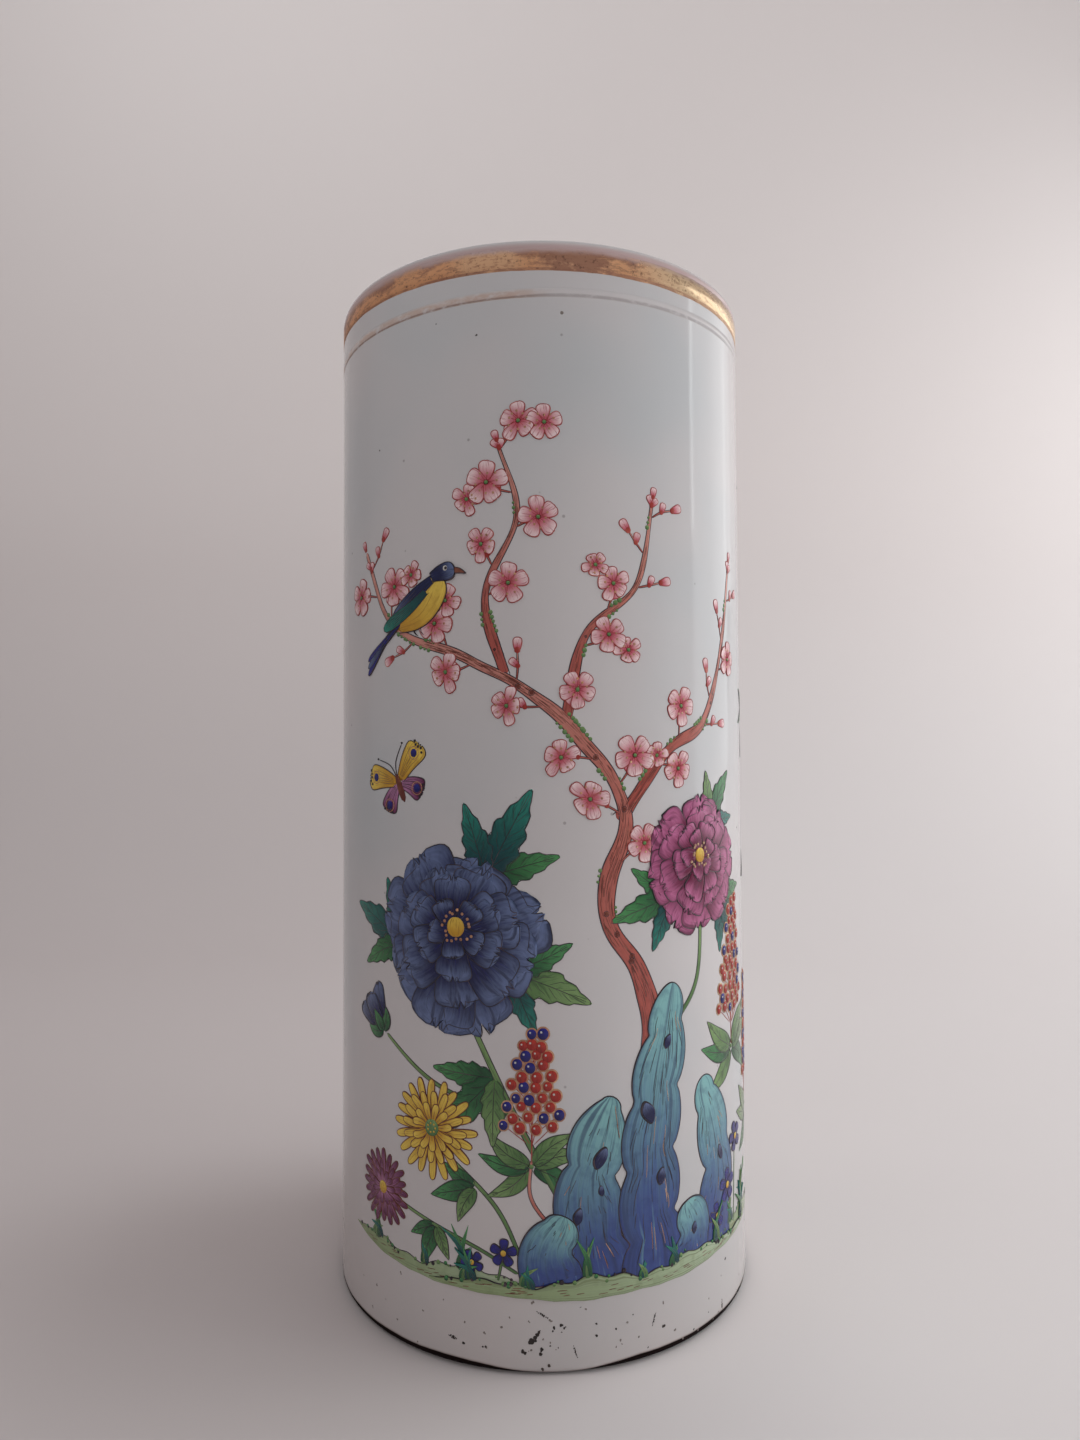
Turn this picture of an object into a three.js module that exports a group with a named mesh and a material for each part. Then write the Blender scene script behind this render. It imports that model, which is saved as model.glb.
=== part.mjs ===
// A tall cylindrical porcelain vase of the hat-stand kind: a thick thrown wall with a rounded lip, a separate floor slab
// luted up into a rabbet inside the foot, a broad gilt band under the lip and a fine gilt line below it.
// Millimetres, +Z up. The origin is the centre of the ring that the vase stands on.
import * as THREE from "three";

// Overall sizes
const outerDiameter = 120;
const height = 280;

// Wall
const wallThickness = 5.5;
const lipCrown = 2.4; // height of the rounding on each side of the lip
const lipFlat = 0.8; // width of the nearly flat top of the lip
const lipSteps = 6;

// Foot
const footHeight = 3.6; // recess under the floor slab
const footWidth = 3.9; // width of the ring that the vase stands on, chamfer included
const footChamfer = 0.9;

// Floor slab
const floorThickness = 7;
const slipGap = 0.3; // slip-filled joint round the slab's edge
const floorEdgeChamfer = 0.6;

// Gilding, fired on over the glaze
const giltThickness = 0.3;
const bandWidth = 5.7; // broad band, measured down from the lip's rounding
const fineLineWidth = 1.4;
const fineLineDrop = 5.7; // bare glaze between the band and the line

// Facets round the vase: every round face shares them, so that coatings lie flat on the wall
const roundSegments = 96;

const outerRadius = outerDiameter / 2;
const innerRadius = outerRadius - wallThickness;
const rabbetRadius = outerRadius - footWidth;
const floorTop = footHeight + floorThickness;

const materials = {
  glaze: new THREE.MeshStandardMaterial({ color: 0xc9cac6, roughness: 0.12, metalness: 0 }),
  floor: new THREE.MeshStandardMaterial({ color: 0xc3bfb4, roughness: 0.45, metalness: 0 }),
  gilt: new THREE.MeshStandardMaterial({ color: 0xb5803f, roughness: 0.35, metalness: 1 }),
};

// A solid of revolution about Z from a closed profile of [radius, height] points, listed counter-clockwise.
function turned(name, profile, material) {
  const points = [...profile, profile[0]].map(([r, z]) => new THREE.Vector2(r, z));
  const geometry = new THREE.LatheGeometry(points, roundSegments);
  geometry.rotateX(Math.PI / 2); // the lathe turns about Y
  const mesh = new THREE.Mesh(geometry, material);
  mesh.name = name;
  return mesh;
}

// Points of the rounded lip, from the outer side over the top to the inner side.
function lipProfile() {
  const points = [];
  const half = (wallThickness - lipFlat) / 2;
  for (let i = 0; i <= lipSteps; i++) {
    const a = (Math.PI / 2) * (i / lipSteps);
    points.push([outerRadius - half * (1 - Math.cos(a)), height - lipCrown * (1 - Math.sin(a))]);
  }
  for (let i = lipSteps; i >= 0; i--) {
    const a = (Math.PI / 2) * (i / lipSteps);
    points.push([innerRadius + half * (1 - Math.cos(a)), height - lipCrown * (1 - Math.sin(a))]);
  }
  return points;
}

function vaseWall() {
  return turned(
    "vase_wall",
    [
      [rabbetRadius, 0],
      [outerRadius - footChamfer, 0],
      [outerRadius, footChamfer],
      ...lipProfile(),
      [innerRadius, floorTop],
      [rabbetRadius, floorTop],
    ],
    materials.glaze,
  );
}

function floorSlab() {
  const edge = rabbetRadius - slipGap;
  return turned(
    "floor_slab",
    [
      [0, footHeight],
      [edge - floorEdgeChamfer, footHeight],
      [edge, footHeight + floorEdgeChamfer],
      [edge, floorTop],
      [0, floorTop],
    ],
    materials.floor,
  );
}

// A thin sleeve of gilding lying on the outside of the wall.
function giltSleeve(name, top, width) {
  return turned(
    name,
    [
      [outerRadius, top - width],
      [outerRadius + giltThickness, top - width],
      [outerRadius + giltThickness, top],
      [outerRadius, top],
    ],
    materials.gilt,
  );
}

const bandTop = height - lipCrown;
const fineLineTop = bandTop - bandWidth - fineLineDrop;

const vase = new THREE.Group();
vase.name = "cylindrical_vase";
vase.add(
  vaseWall(),
  floorSlab(),
  giltSleeve("gilt_band", bandTop, bandWidth),
  giltSleeve("gilt_fine_line", fineLineTop, fineLineWidth),
);

export default vase;
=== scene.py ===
"""A tall porcelain vase with a worn gilt rim and raised enamel flowers, built round its CAD frame.

Lengths are in metres, as in the frame, except where a name ends in _MM. The painting is laid out on the
unrolled wall in millimetres: across is to the viewer's right of the front, and up is above the foot.
"""
import random
from math import atan2, ceil, cos, degrees as to_degrees, pi, radians, sin, sqrt

import bpy
import numpy as np
from mathutils import Matrix, Vector, noise


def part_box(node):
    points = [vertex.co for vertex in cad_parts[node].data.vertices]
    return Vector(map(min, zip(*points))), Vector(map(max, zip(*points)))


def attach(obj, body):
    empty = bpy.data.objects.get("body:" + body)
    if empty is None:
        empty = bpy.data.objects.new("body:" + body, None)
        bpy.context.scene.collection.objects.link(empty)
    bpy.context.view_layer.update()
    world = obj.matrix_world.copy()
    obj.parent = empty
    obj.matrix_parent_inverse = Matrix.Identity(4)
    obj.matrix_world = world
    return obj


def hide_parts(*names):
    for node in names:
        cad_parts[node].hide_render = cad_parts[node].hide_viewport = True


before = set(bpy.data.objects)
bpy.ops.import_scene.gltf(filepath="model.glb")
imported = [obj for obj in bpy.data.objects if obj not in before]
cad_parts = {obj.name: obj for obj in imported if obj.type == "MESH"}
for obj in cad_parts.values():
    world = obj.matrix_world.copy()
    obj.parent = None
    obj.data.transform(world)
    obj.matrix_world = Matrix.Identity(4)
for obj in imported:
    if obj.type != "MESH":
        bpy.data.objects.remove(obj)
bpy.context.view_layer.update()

# Sizes read from the frame
MM = 0.001
wall_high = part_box("vase_wall")[1]
band_low, band_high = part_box("gilt_band")
line_low, line_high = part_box("gilt_fine_line")
floor_low, floor_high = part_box("floor_slab")
RADIUS = wall_high.x
HEIGHT = wall_high.z
RADIUS_MM = RADIUS / MM

# Sizes of the section, as in the CAD
WALL = 0.0055
LIP_CROWN = 0.0024
LIP_FLAT = 0.0008
FOOT_WIDTH = 0.0039
FLOOR_CHAMFER = 0.0006

# What the CAD leaves out: a rounded heel, a cove round the floor and a slight dish under it
HEEL_IN, HEEL_UP = 0.0026, 0.002
COVE = 0.003
FLOOR_DISH = 0.0006

# Gilding: how proud it is, how deep and how sloped its edges are, and how much higher it runs at the right
GILT_PROUD = 0.00005
GILT_SUNK = 0.0002
GILT_EDGE = 0.0001
BAND_TILT, LINE_TILT = -0.0003, 0.0012

ROUND_SEGMENTS = 384


def srgb(red, green, blue):
    """A colour given as 0 to 255 display values, as linear RGBA."""
    def linear(value):
        value /= 255
        return value / 12.92 if value <= 0.04045 else ((value + 0.055) / 1.055) ** 2.4
    return (linear(red), linear(green), linear(blue), 1.0)


# Camera: fitted to the photograph's rings at the lip, gilding and foot
PHOTO_HEIGHT_PX = 1440
FOCAL_PX = 955
CAMERA_BACK = 0.2956
CAMERA_UP = 0.1516
CAMERA_ASIDE = -0.0004
CAMERA_PITCH = radians(1.75)
CAMERA_ROLL = radians(-0.28)


def add_object(name, data):
    made = bpy.data.objects.new(name, data)
    bpy.context.scene.collection.objects.link(made)
    return made


def make_camera():
    data = bpy.data.cameras.new("photo_camera")
    data.lens = FOCAL_PX / PHOTO_HEIGHT_PX * data.sensor_width
    data.clip_start = 0.01
    camera = add_object("photo_camera", data)
    turn = Matrix.Rotation(pi / 2 + CAMERA_PITCH, 4, "X") @ Matrix.Rotation(CAMERA_ROLL, 4, "Z")
    camera.matrix_world = Matrix.Translation((CAMERA_ASIDE, -CAMERA_BACK, CAMERA_UP)) @ turn
    bpy.context.scene.camera = camera


class Value:
    """A number, point or colour in a node tree. Arithmetic on it adds the nodes that work it out."""

    def __init__(self, shader, socket):
        self.shader, self.socket = shader, socket

    def __add__(self, other):
        return self.shader.math("ADD", self, other)

    def __sub__(self, other):
        return self.shader.math("SUBTRACT", self, other)

    def __mul__(self, other):
        return self.shader.math("MULTIPLY", self, other)

    def __abs__(self):
        return self.shader.math("ABSOLUTE", self)

    def at_least(self, other):
        return self.shader.math("MAXIMUM", self, other)

    def ramp(self, low, high):
        """0 at low, 1 at high, and smooth between. low may be the greater of the two."""
        inputs = dict(enumerate((self, low, high)))
        return self.shader.node("ShaderNodeMapRange", 0, inputs, interpolation_type="SMOOTHSTEP")

    def axis(self, letter):
        return self.shader.node("ShaderNodeSeparateXYZ", letter, {"Vector": self})

    def stretched(self, upright):
        """This point with its height scaled, so that a noise on it is stretched round the vase, or up it."""
        return self.shader.point(self.axis("X"), self.axis("Y"), self.axis("Z") * upright)

    def from_axis(self):
        """This point's distance from the vase's axis."""
        inputs = {0: self.stretched(0.0)}
        return self.shader.node("ShaderNodeVectorMath", "Value", inputs, operation="LENGTH")

    def noise(self, scale, detail, roughness=0.5):
        inputs = {"Vector": self, "Scale": scale, "Detail": detail, "Roughness": roughness}
        return self.shader.node("ShaderNodeTexNoise", "Fac", inputs)

    def specks(self, scale, size, share):
        """1 inside round specks. size is their radius in cells, and share is how many cells have one."""
        distance = self.shader.node("ShaderNodeTexVoronoi", "Distance", {"Vector": self, "Scale": scale})
        cell = Value(self.shader, distance.socket.node.outputs["Color"])
        return distance.ramp(size, size * 0.5) * cell.axis("X").ramp(1 - share, 1.02 - share)


class Shader:
    """The node tree of a material or a world, round its surface shader."""

    def __init__(self, owner, surface="Principled BSDF"):
        owner.use_nodes = True
        self.owner = owner
        self.tree = owner.node_tree
        self.surface = self.tree.nodes[surface]

    def put(self, value, socket):
        """Sets a socket to a number or a colour, or links a value to it."""
        if isinstance(value, Value):
            self.tree.links.new(value.socket, socket)
        else:
            socket.default_value = value

    def node(self, kind, output, inputs, **settings):
        """Adds a node and returns one of its outputs."""
        made = self.tree.nodes.new(kind)
        for key, value in settings.items():
            setattr(made, key, value)
        for key, value in inputs.items():
            self.put(value, made.inputs[key])
        return Value(self, made.outputs[output])

    def math(self, operation, *values):
        return self.node("ShaderNodeMath", 0, dict(enumerate(values)), operation=operation)

    def point(self, *values):
        return self.node("ShaderNodeCombineXYZ", 0, dict(enumerate(values)))

    def place(self):
        """The point in the frame, in metres."""
        return self.node("ShaderNodeTexCoord", "Object", {})

    def mix(self, share, first, second):
        return self.node("ShaderNodeMix", 2, {0: share, 6: first, 7: second}, data_type="RGBA")

    def layers(self, colour, *coats):
        """A colour under coats of others, each given as its share and its colour."""
        for share, coat in coats:
            colour = self.mix(share, colour, coat)
        return colour

    def bump(self, height, distance, strength):
        return self.node("ShaderNodeBump", 0, {"Height": height, "Distance": distance, "Strength": strength})

    def set(self, **values):
        """Sets the surface shader's sockets. Underscores in a name stand for spaces."""
        for key, value in values.items():
            self.put(value, self.surface.inputs[key.replace("_", " ")])
        return self.owner


def material(name):
    return Shader(bpy.data.materials.new(name))


GLAZE = srgb(199, 193, 193)
GLAZE_COOL = srgb(187, 188, 190)
GLAZE_WARM = srgb(190, 180, 177)
BARE = srgb(208, 198, 182)
BARE_WARM = srgb(196, 170, 142)
GRIME = srgb(122, 98, 78)
GRIT = srgb(84, 66, 54)
# Burnt brown foot, painted near black as painted shade in the gap under the heel
FOOT_BROWN_AND_SHADE = srgb(20, 9, 8)
FOOT_TOAST = srgb(128, 96, 84)
IRON = srgb(70, 54, 46)
GOLD = srgb(226, 166, 122)
GOLD_PALE = srgb(244, 204, 164)
# A painted highlight: the window's reflection on the gilding at the right
GOLD_WINDOW_GLINT = srgb(255, 222, 180)
COPPER = srgb(148, 102, 84)
COPPER_DARK = srgb(96, 62, 52)
BLOOM = srgb(188, 162, 160)
LINE_GOLD = srgb(202, 168, 148)
LINE_GREY = srgb(112, 104, 104)
LINE_BROWN = srgb(108, 86, 78)


def glaze_material():
    """Greyish white porcelain under a glossy glaze. The gilding has left a copper bloom on it below the lip,
    and it ends above a burnt brown foot, lowest at the front, painted near black as painted shade under the
    heel."""
    shader = material("porcelain_glaze")
    place = shader.place()
    across, up = place.axis("X"), place.axis("Z")
    fine = place.noise(320, 2)
    pits = place.specks(170, 0.09, 0.12)
    outside = place.from_axis().ramp(RADIUS - 0.004, RADIUS - 0.001)
    top = band_high.z
    bloom = up.ramp(top + 0.0018, top - 0.0003) * up.ramp(top - 0.002, top - 0.001)
    # The foot band runs thinner at the front and thicker at the sides. Its near black and low gloss are
    # painted shade under the heel, over a burnt brown foot.
    above = up - (abs(across - 0.002).ramp(0.002, 0.024) * 0.0016 + place.noise(90, 3) * 0.0006 + 0.0004)
    bare = above.ramp(0.0002, -0.0001) * outside
    colour = shader.layers(
        GLAZE,
        (place.noise(14, 2).ramp(0.4, 0.7), GLAZE_COOL),
        (up.ramp(0.07, 0.0) * 0.6, GLAZE_WARM),
        (bloom * outside, BLOOM),
        (pits * 0.4, IRON),
        (above.ramp(0.0006, 0.0) * outside * 0.5, FOOT_TOAST),
        (bare, FOOT_BROWN_AND_SHADE))
    relief = place.stretched(0.35).noise(46, 2) + fine * 0.02 - pits * 0.06
    # The low specular level on the foot band keeps its painted shade dark.
    return shader.set(Base_Color=colour, Roughness=fine * 0.06 + bare * 0.6 + 0.07,
                      Specular_IOR_Level=bare * -0.42 + 0.5, Normal=shader.bump(relief, 0.0003, 0.35))


def bare_material():
    """Unglazed porcelain under the foot and floor: turned rings, toasted patches and grime."""
    shader = material("bare_porcelain")
    place = shader.place()
    radius = place.from_axis()
    colour = shader.layers(
        BARE,
        (place.noise(24, 3).ramp(0.4, 0.75), BARE_WARM),
        (place.noise(150, 5, 0.7).ramp(0.5, 0.72) * 0.45, GRIME),
        (place.noise(800, 2).ramp(0.68, 0.76), GRIT),
        (radius.ramp(floor_high.x - 0.002, floor_high.x + 0.002),
         shader.mix(place.noise(110, 4).ramp(0.36, 0.5), FOOT_TOAST, FOOT_BROWN_AND_SHADE)))
    relief = place.noise(1300, 2) + shader.math("SINE", radius * 2400.0) * 0.35
    return shader.set(Base_Color=colour, Roughness=0.82, Normal=shader.bump(relief, 0.00015, 0.6))


def gilt_material():
    """Worn overglaze gilding: warm metal rubbed to copper brown in patches, and gone towards the lip. At the
    right it is painted paler, brighter and more metallic as a painted reflection of the window, and it is
    paler just left of the front."""
    shader = material("gilding")
    place = shader.place()
    across, up = place.axis("X"), place.axis("Z")
    smear = place.stretched(2.2).noise(150, 5, 0.72)
    area = place.stretched(0.2).noise(15, 2)
    crumbs = place.noise(900, 3, 0.7)
    hairs = place.stretched(3.0).noise(420, 3, 0.7)
    # Painted reflection of the window: paler, brighter and more metallic gold at the right. The second mask
    # adds it to a paler patch just left of the front.
    painted_window_glint = across.ramp(0.024, 0.042)
    pale_patch_and_glint = across.ramp(0.016, 0.034).at_least(abs(across + 0.013).ramp(0.012, 0.004) * 0.7)
    worn = smear + (area - 0.5) * 0.5 + up.ramp(band_low.z + 0.0016, band_high.z - 0.001) * 0.15
    worn = worn + abs(across - 0.011).ramp(0.011, 0.003) * 0.13 - pale_patch_and_glint * 0.2
    # low_edge darkens a strip along the band's lower edge to copper.
    low_edge = up.ramp(band_low.z + 0.0006, band_low.z + 0.0002) * smear.ramp(0.3, 0.5)
    rub = worn.ramp(0.46, 0.66).at_least(low_edge * 0.8)
    gone = (up + smear * 0.002).ramp(band_high.z - 0.0012, band_high.z + 0.0008)
    colour = shader.layers(
        GOLD,
        (pale_patch_and_glint * 0.7 + area.ramp(0.5, 0.7), GOLD_PALE),
        (painted_window_glint, GOLD_WINDOW_GLINT),
        (rub * 0.85, COPPER),
        (hairs.ramp(0.5, 0.64) * 0.5, COPPER),
        (crumbs.ramp(0.57, 0.7) * 0.7, COPPER_DARK),
        (gone, BLOOM))
    metal = painted_window_glint * 0.2 - rub * 0.2 - gone * 0.5 + 0.5
    return shader.set(Base_Color=colour, Metallic=metal.at_least(0.0),
                      Roughness=rub * 0.12 - pale_patch_and_glint * 0.1 + 0.33,
                      Normal=shader.bump(smear + crumbs, 0.00005, 0.5))


def fine_line_material():
    """The fine line's gilding, rubbed to a pale stripe with a brown lower edge, and to grey on the right."""
    shader = material("gilding_fine")
    place = shader.place()
    across = place.axis("X")
    up = place.axis("Z") - across * (LINE_TILT / RADIUS)
    kept = (place.stretched(0.2).noise(24, 3) + across * 6.0).ramp(0.62, 0.42)
    flecks = place.stretched(2.0).noise(260, 3, 0.65)
    gilded = up.ramp(line_high.z + 0.0009, line_high.z) * flecks.ramp(0.25, 0.6) * (kept * 0.6 + 0.02)
    low = line_low.z
    lower = (up + kept * 0.0004).ramp(low + 0.001, low + 0.0006)
    trace = lower * up.ramp(low - 0.0002, low + 0.0002) * flecks.ramp(0.25, 0.5) * (kept * 0.2 + 0.36)
    colour = shader.layers(GLAZE, (gilded, LINE_GOLD), (trace, shader.mix(kept, LINE_GREY, LINE_BROWN)))
    return shader.set(Base_Color=colour, Metallic=gilded * 0.35, Roughness=0.2)


def enamel_material(name, root, tip, deep, leafy, start):
    """A glossy enamel that runs from a root colour to a tip colour, from a share of each stroke's length on.
    Brush streaks run along a petal or slantwise from a leaf's midrib, and it pools darker at its edges."""
    shader = material(name)
    stroke = shader.node("ShaderNodeUVMap", 0, {}, uv_map="stroke")
    along, across = stroke.axis("X"), stroke.axis("Y")
    seed = shader.node("ShaderNodeAttribute", "Fac", {}, attribute_name="seed") * 50.0
    off_spine = abs(across * 2.0 - 1.0)
    if leafy:
        grain = shader.point((along - off_spine * 0.25) * 15.0, across * 1.5, seed)
    else:
        grain = shader.point(along * 1.2, across * 9.0, seed)
    brush = grain.noise(1.3, 4, 0.6)
    pool = shader.place().noise(380, 3)
    colour = shader.layers(
        root,
        ((along + (brush - 0.5) * 0.9).ramp(start, 1.0), tip),
        (brush.ramp(0.48, 0.66) * 0.7, deep),
        (brush.ramp(0.4, 0.28) * 0.4, tip),
        (off_spine.ramp(0.75, 1.0) * 0.45, deep),
        (pool.ramp(0.45, 0.75) * 0.3, deep))
    return shader.set(Base_Color=colour, Roughness=pool * 0.12 + 0.1,
                      Normal=shader.bump(brush + pool, 0.00006, 0.5))


def ink_material(name, colour, faded):
    """A thin painted line, worn paler in places."""
    shader = material(name)
    wear = shader.place().noise(260, 3).ramp(0.5, 0.75)
    return shader.set(Base_Color=shader.mix(wear, colour, faded), Roughness=0.3)


def add_mesh(name, verts, faces, materials):
    """A smooth-shaded mesh object in the scene, with one or more materials."""
    mesh = bpy.data.meshes.new(name)
    mesh.from_pydata(verts, [], faces)
    mesh.update()
    for surface in materials:
        mesh.materials.append(surface)
    mesh.polygons.foreach_set("use_smooth", [True] * len(mesh.polygons))
    return add_object(name, mesh)


def turned(name, profile, materials, material_of=None, closed=True, shift=None):
    """A solid of revolution from (radius, height) points. A point on the axis is a pole. material_of(k) is
    the material that starts at point k, and shift(k, angle) is how much that point is raised there."""
    verts, rings = [], []
    for k, (radius, up) in enumerate(profile):
        angles = [2 * pi * i / ROUND_SEGMENTS for i in range(ROUND_SEGMENTS if radius > 1e-7 else 1)]
        rings.append(range(len(verts), len(verts) + len(angles)))
        verts += [(radius * sin(a), -radius * cos(a), up + (shift(k, a) if shift else 0.0)) for a in angles]
    faces, slots = [], []
    for k in range(len(profile) if closed else len(profile) - 1):
        lower, upper = rings[k], rings[(k + 1) % len(profile)]
        for i in range(ROUND_SEGMENTS):
            around = ((lower, i), (lower, i + 1), (upper, i + 1), (upper, i))
            faces.append(list(dict.fromkeys(ring[j % len(ring)] for ring, j in around)))
            slots.append(material_of(k) if material_of else 0)
    made = add_mesh(name, verts, faces, materials)
    made.data.polygons.foreach_set("material_index", slots)
    return made


def arc(centre_r, centre_z, radius_r, radius_z, start, end, steps):
    """Points of an elliptic arc in the wall's section. Angles are in degrees from the radius."""
    points = []
    for i in range(steps + 1):
        a = radians(start + (end - start) * i / steps)
        points.append((centre_r + radius_r * cos(a), centre_z + radius_z * sin(a)))
    return points


def vase_body(glaze, bare):
    """The wall with its rounded lip and foot ring, in place of the faceted CAD wall."""
    inner = RADIUS - WALL
    rabbet = RADIUS - FOOT_WIDTH
    half = (WALL - LIP_FLAT) / 2
    lip_z = HEIGHT - LIP_CROWN
    foot = [(rabbet, 0.0004), (rabbet + 0.0004, 0.0), (RADIUS - HEEL_IN - 0.0003, 0.0)]
    heel = arc(RADIUS - HEEL_IN, HEEL_UP, HEEL_IN, HEEL_UP, -80, 0, 8)
    outside = [(RADIUS, HEEL_UP + (lip_z - HEEL_UP) * i / 60) for i in range(1, 60)]
    lip = arc(RADIUS - half, lip_z, half, LIP_CROWN, 0, 90, 12)
    lip += arc(inner + half, lip_z, half, LIP_CROWN, 90, 180, 12)
    cove_z = floor_high.z + COVE
    inside = [(inner, lip_z - (lip_z - cove_z) * i / 30) for i in range(1, 31)]
    cove = arc(inner - COVE, cove_z, COVE, COVE, 0, -90, 6)[1:]
    profile = foot + heel + outside + lip + inside + cove + [(rabbet, floor_high.z - 0.0005)]
    glazed = range(len(foot), len(profile) - 2)
    made = turned("vase_body", profile, [glaze, bare], lambda k: 0 if k in glazed else 1)
    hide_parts("vase_wall")
    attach(made, "root")


def vase_floor(glaze, bare):
    """The floor slab: glazed inside the vase and bare underneath, where it dishes slightly."""
    edge = floor_high.x
    under = [(edge * i / 12, floor_low.z + FLOOR_DISH * (1 - (i / 12) ** 2)) for i in range(12)]
    rim = [(edge - FLOOR_CHAMFER, floor_low.z), (edge, floor_low.z + FLOOR_CHAMFER),
           (edge, floor_high.z - FLOOR_CHAMFER)]
    top = [(edge * (1 - i / 8), floor_high.z - 0.0002) for i in range(9)]
    profile = under + rim + top
    glazed_from = len(under) + len(rim) - 1
    made = turned("vase_floor", profile, [glaze, bare], lambda k: 0 if k >= glazed_from else 1, closed=False)
    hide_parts("floor_slab")
    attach(made, "root")


def gilt_ring(name, node, low, high, skin, ragged, tilt):
    """A thin skin of gilding round the wall. ragged is how far its lower and upper edges wander, and tilt is
    how much higher it runs at the right."""
    outside, inside = RADIUS + GILT_PROUD, RADIUS - GILT_SUNK
    profile = [(inside, low), (outside, low + GILT_EDGE), (outside, (low + high) / 2),
               (outside, high - GILT_EDGE), (inside, high)]

    def wander(k, angle):
        level = tilt * sin(angle)
        if k == 2:
            return level
        spot = Vector((sin(angle), cos(angle), 3.0 * (k > 2)))
        depth = (noise.noise(spot * 9) + 0.6 * noise.noise(spot * 31)) * 0.6
        return level + (ragged[0] * depth if k < 2 else -ragged[1] * abs(depth))
    made = turned(name, profile, [skin], shift=wander)
    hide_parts(node)
    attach(made, "root")


# The painting's tools: brush strokes of raised enamel, laid out on the unrolled wall

SINK_MM = 0.05  # how far a stroke's edge runs down into the glaze
LINE_MM = 0.16  # half-width of an outline
BAMBOO_JOINT_MM = 17
chance = random.Random(7)
vary = chance.uniform


def smooth_path(points, steps):
    """A Catmull-Rom curve through points, as steps + 1 points evenly spaced along it."""
    given = np.array(points, float)
    padded = np.vstack([2 * given[0] - given[1], given, 2 * given[-1] - given[-2]])
    fine = []
    for a, b, c, d in zip(padded, padded[1:], padded[2:], padded[3:]):
        for t in np.arange(0, 1, 1 / 12):
            fine.append(0.5 * (2 * b + (c - a) * t + (2 * a - 5 * b + 4 * c - d) * t * t
                               + (3 * b - a - 3 * c + d) * t ** 3))
    fine.append(given[-1])
    fine = np.array(fine)
    run = np.concatenate([[0], np.cumsum(np.hypot(*np.diff(fine, axis=0).T))])
    wanted = np.linspace(0, run[-1], steps + 1)
    return np.stack([np.interp(wanted, run, fine[:, 0]), np.interp(wanted, run, fine[:, 1])], -1)


def sideways(path):
    """Unit vectors to the right of a path."""
    ahead = np.gradient(path, axis=0)
    ahead /= np.maximum(np.hypot(*ahead.T), 1e-9)[:, None]
    return np.stack([ahead[:, 1], -ahead[:, 0]], -1)


def path_length(points):
    return float(np.hypot(*np.diff(np.array(points, float), axis=0).T).sum())


def polar(centre, degrees, distance):
    a = radians(degrees)
    return (centre[0] + distance * cos(a), centre[1] + distance * sin(a))


def bowed(root, degrees, far, bend, near=0.0):
    """Three points of a bowed line on a bearing, from near to far of its root."""
    middle = polar(polar(root, degrees, (near + far) / 2), degrees + 90, bend)
    return [polar(root, degrees, near), middle, polar(root, degrees, far)]


def bearing(step):
    return to_degrees(atan2(step[1], step[0]))


# How a blade's rows are spaced: evenly, closer towards its tip, or closer at both ends
EVEN = np.array
TO_TIP = lambda shares: np.sin(shares * pi / 2)
TO_ENDS = lambda shares: (1 - np.cos(shares * pi)) / 2


class Blade:
    """A petal, leaf, wing or bough: a spine with a half-width to each side, width(s, t). at(s, t) is s of
    the way from root to tip, and t of the way from the spine to its left edge, -1, or right one, 1.
    ruffle is how deep the notches in its tip are, as a share of its length."""

    def __init__(self, spine, width, steps=12, ruffle=0.0, rows=TO_TIP):
        self.path = smooth_path(spine, steps * 2)
        self.side = sideways(self.path)
        self.width = width
        self.ruffle = ruffle
        self.phase = vary(0, 6)
        self.rows = rows(np.arange(1, steps) / steps)

    def at(self, s, t):
        reach = s * (1 - self.ruffle * (0.5 + 0.5 * sin(self.phase + 8 * t)) * s)
        k = reach * (len(self.path) - 1)
        i = min(int(k), len(self.path) - 2)
        f = k - i
        spine = self.path[i] * (1 - f) + self.path[i + 1] * f
        side = self.side[i] * (1 - f) + self.side[i + 1] * f
        return spine + side * self.width(s, t) * t

    def line(self, s0, t0, s1, t1, count=6):
        return [self.at(s0 + (s1 - s0) * i / count, t0 + (t1 - t0) * i / count) for i in range(count + 1)]

    def rim(self):
        """Its outline, from the root round the tip and back."""
        rows = [0.02, *self.rows]
        tip = [self.at((self.rows[-1] + 1) / 2, t) for t in np.linspace(-0.98, 0.98, 11)]
        return [self.at(s, -0.98) for s in rows] + tip + [self.at(s, 0.98) for s in reversed(rows)]


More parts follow.
